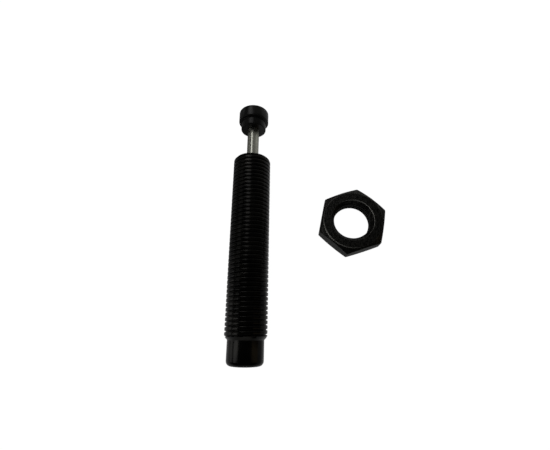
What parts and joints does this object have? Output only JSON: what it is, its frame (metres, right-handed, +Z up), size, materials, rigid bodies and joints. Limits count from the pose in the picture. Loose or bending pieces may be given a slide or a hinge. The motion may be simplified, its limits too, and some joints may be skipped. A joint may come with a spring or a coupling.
{
  "type": "industrial shock absorber",
  "caption": "Threaded tubular shock absorber with a sprung piston rod, a flat resin impact cap and a thin hexagon mounting nut.",
  "frame": {"origin": "centre of the outer tube's flat rear face, on the tube's axis", "axes": "+Y along the tube's axis towards the piston rod and the impact cap; +Z up from the surface that the tube lies on; +X towards the loose nut"},
  "size_m": [0.0561, 0.0952, 0.014],
  "materials": {
    "black_steel": "black oxide, satin",
    "black_resin": "moulded, satin",
    "polished_steel": "ground and polished",
    "machined_steel": "turned",
    "bronze": "turned",
    "ring_resin": "machined",
    "seal_rubber": "matt",
    "foam": "closed-cell foam, matt"
  },
  "bodies": {
    "barrel": {"outer_tube": "black_steel", "inner_tube": "machined_steel", "tube_base": "machined_steel", "return_spring": "machined_steel", "rod_bearing": "bronze", "accumulator": "foam", "bearing_gasket": "seal_rubber", "seal_holder": "machined_steel", "outer_gasket": "seal_rubber", "rod_seal": "seal_rubber", "scraper": "seal_rubber", "retaining_washer": "machined_steel", "lock_ring": "machined_steel", "fill_ball": "polished_steel", "fill_screw": "black_steel"},
    "plunger": {"piston_rod": "polished_steel", "piston": "bronze", "piston_ring": "ring_resin", "spring_guide": "machined_steel", "rod_stopper": "machined_steel", "rod_head": "machined_steel", "impact_cap": "black_resin"},
    "valve_ball": {"check_ball": "polished_steel"},
    "loose_nut": {"mounting_nut": "black_steel"}
  },
  "joints": [
    {"name": "rod_stroke", "type": "slide", "parent": "barrel", "child": "plunger", "axis": [0, -1, 0], "range_m": [0, 0.012], "stiffness_N_per_m": 700, "springref_m": -0.0098, "deforming": ["return_spring"]},
    {"name": "check_ball_lift", "type": "slide", "parent": "plunger", "child": "valve_ball", "axis": [0, -1, 0], "range_m": [0, 0.00035]},
    {"name": "nut_lift", "type": "slide", "parent": "barrel", "child": "loose_nut", "axis": [0, 0, 1], "range_m": [0, 0.03]}
  ]
}
